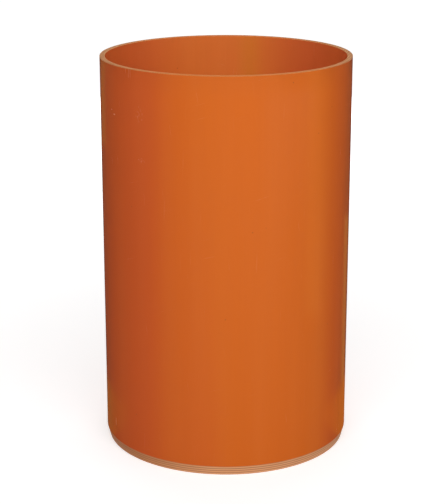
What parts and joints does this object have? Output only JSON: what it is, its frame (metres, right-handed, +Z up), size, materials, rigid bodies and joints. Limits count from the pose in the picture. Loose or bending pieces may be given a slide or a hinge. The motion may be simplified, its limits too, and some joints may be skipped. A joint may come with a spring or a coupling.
{
  "type": "manhole riser pipe",
  "caption": "Short plain-ended length of large orange-brown plastic sewer pipe, open right through, with a chamfered spigot at the foot and a square-sawn top.",
  "frame": {"origin": "centre of the spigot end's plane, on the pipe's axis, at floor level when the pipe stands on its spigot end", "axes": "+Z up the pipe's axis, from the chamfered spigot end to the sawn end; X and Y are any two square directions across it"},
  "size_m": [0.315, 0.315, 0.5],
  "materials": {
    "pvc": "gloss"
  },
  "bodies": {
    "root": {"riser_pipe": "pvc"}
  },
  "joints": []
}
